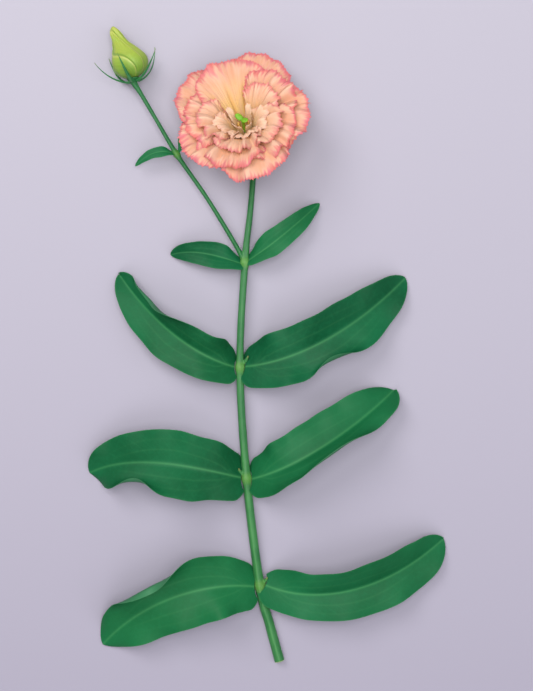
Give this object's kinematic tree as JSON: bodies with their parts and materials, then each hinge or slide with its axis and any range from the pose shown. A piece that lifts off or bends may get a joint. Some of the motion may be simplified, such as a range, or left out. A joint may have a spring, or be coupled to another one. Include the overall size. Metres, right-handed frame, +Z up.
{
  "type": "lisianthus flower",
  "caption": "Cut lisianthus lying down: a double, fringed peach and pink bloom on its leafy green stem, with a side shoot that carries a closed green bud.",
  "frame": {"origin": "middle of the flower's outline, on the level surface that it lies on", "axes": "+Y along the stem from the cut end towards the bloom, +Z up from the surface, +X to the right seen from above with the bloom at the top"},
  "size_m": [0.2153, 0.3836, 0.0485],
  "materials": {
    "petal": "soft matte, peach with a pink rim",
    "pistil": "satin green",
    "stamen": "matte yellow",
    "sepal": "matte green",
    "stem": "satin green",
    "bud": "satin yellow-green",
    "leaf": "waxy satin green"
  },
  "bodies": {
    "root": {"petal_outer_1": "petal", "petal_outer_2": "petal", "petal_outer_3": "petal", "petal_outer_4": "petal", "petal_outer_5": "petal", "petal_second_1": "petal", "petal_second_2": "petal", "petal_second_3": "petal", "petal_second_4": "petal", "petal_second_5": "petal", "petal_third_1": "petal", "petal_third_2": "petal", "petal_third_3": "petal", "petal_third_4": "petal", "petal_fourth_1": "petal", "petal_fourth_2": "petal", "petal_fourth_3": "petal", "petal_strip_1": "petal", "petal_strip_2": "petal", "petal_strip_3": "petal", "petal_strip_4": "petal", "pistil": "pistil", "stamen_1": "stamen", "stamen_2": "stamen", "stamen_3": "stamen", "stamen_4": "stamen", "stamen_5": "stamen", "sepal_1": "sepal", "sepal_2": "sepal", "sepal_3": "sepal", "sepal_4": "sepal", "sepal_5": "sepal", "stem": "stem", "bud": "bud", "bud_sepal_1": "sepal", "bud_sepal_2": "sepal", "bud_sepal_3": "sepal", "bud_sepal_4": "sepal", "bud_sepal_5": "sepal", "leaf_low_right": "leaf", "leaf_low_left": "leaf", "leaf_middle_left": "leaf", "leaf_middle_right": "leaf", "leaf_high_right": "leaf", "leaf_high_left": "leaf", "leaf_top_right": "leaf", "leaf_top_left": "leaf", "bract_left": "leaf", "bract_right": "leaf"}
  },
  "joints": []
}
